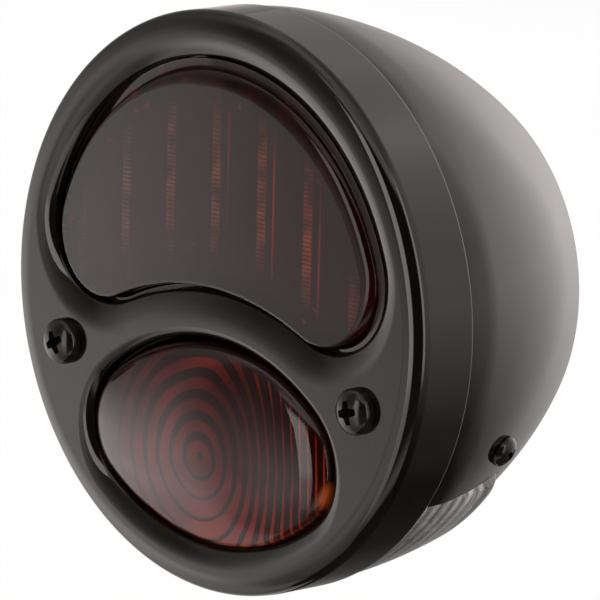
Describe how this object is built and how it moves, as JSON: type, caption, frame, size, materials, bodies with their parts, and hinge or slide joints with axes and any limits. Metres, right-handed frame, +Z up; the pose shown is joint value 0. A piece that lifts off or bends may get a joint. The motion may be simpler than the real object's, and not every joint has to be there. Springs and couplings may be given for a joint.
{
  "type": "motorcycle tail light",
  "caption": "Round drum tail light with a kidney-shaped upper lens, an oval lower lens, a lift-off front door, a licence plate window below, bayonet bulbs inside and rear mounting studs.",
  "frame": {"origin": "centre of the bowl's flat back face, on the lamp's axis, midway between the mounting studs", "axes": "+Z up as mounted, +Y out of the back face, -Y the way the lenses face, +X to the right of someone looking at the lenses"},
  "size_m": [0.108, 0.0759, 0.1081],
  "materials": {
    "gloss_black": "gloss",
    "black_screw": "satin",
    "zinc_steel": "satin",
    "spring_steel": "satin",
    "rubber": "matte",
    "brass": "satin",
    "fibre_board": "matte",
    "black_insulation": "gloss",
    "ruby_glass": "gloss",
    "red_glass": "gloss",
    "clear_glass": "gloss",
    "bulb_glass": "gloss",
    "filament_wire": "satin"
  },
  "bodies": {
    "housing": {"housing_bowl": "gloss_black", "door_screw_tabs": "zinc_steel", "door_seal": "rubber", "window_lens": "clear_glass", "window_gasket": "rubber", "window_strap": "zinc_steel", "window_screws": "black_screw", "mounting_studs": "zinc_steel", "wire_grommet": "rubber", "socket_plate": "zinc_steel", "socket_rivets": "zinc_steel", "light_divider": "zinc_steel", "divider_rivets": "zinc_steel", "upper_socket": "zinc_steel", "lower_socket": "zinc_steel", "upper_insulator": "fibre_board", "lower_insulator": "fibre_board", "upper_contact_spring": "spring_steel", "lower_contact_spring": "spring_steel"},
    "door": {"door_shell": "gloss_black", "upper_lens": "ruby_glass", "lower_lens": "red_glass", "upper_lens_gasket": "rubber", "lower_lens_gasket": "rubber", "lens_retainer": "zinc_steel", "retainer_studs": "zinc_steel", "retainer_nuts": "zinc_steel", "door_screws": "black_screw"},
    "upper_bulb": {"upper_bulb_cap": "brass", "upper_bulb_contact": "black_insulation", "upper_bulb_glass": "bulb_glass", "upper_bulb_filament": "filament_wire"},
    "lower_bulb": {"lower_bulb_cap": "brass", "lower_bulb_contact": "black_insulation", "lower_bulb_glass": "bulb_glass", "lower_bulb_filament": "filament_wire"},
    "upper_contact": {"upper_contact_disc": "fibre_board", "upper_contact_tip": "brass"},
    "lower_contact": {"lower_contact_disc": "fibre_board", "lower_contact_tip": "brass"}
  },
  "joints": [
    {"name": "door_lift_off", "type": "slide", "parent": "housing", "child": "door", "axis": [0, -1, 0], "range_m": [0, 0.06]},
    {"name": "upper_bulb_press", "type": "slide", "parent": "housing", "child": "upper_bulb", "axis": [0, 1, 0], "range_m": [0, 0.0018], "stiffness_N_per_m": 1500, "springref_m": -0.004},
    {"name": "lower_bulb_press", "type": "slide", "parent": "housing", "child": "lower_bulb", "axis": [0, 1, 0], "range_m": [0, 0.0018], "stiffness_N_per_m": 1500, "springref_m": -0.004},
    {"name": "upper_contact_press", "type": "slide", "parent": "housing", "child": "upper_contact", "axis": [0, 1, 0], "range_m": [0, 0.0018], "deforming": ["upper_contact_spring"]},
    {"name": "lower_contact_press", "type": "slide", "parent": "housing", "child": "lower_contact", "axis": [0, 1, 0], "range_m": [0, 0.0018], "deforming": ["lower_contact_spring"]}
  ],
  "couplings": [
    {"joint": "upper_contact_press", "follows": "upper_bulb_press", "ratio": 1},
    {"joint": "lower_contact_press", "follows": "lower_bulb_press", "ratio": 1}
  ]
}
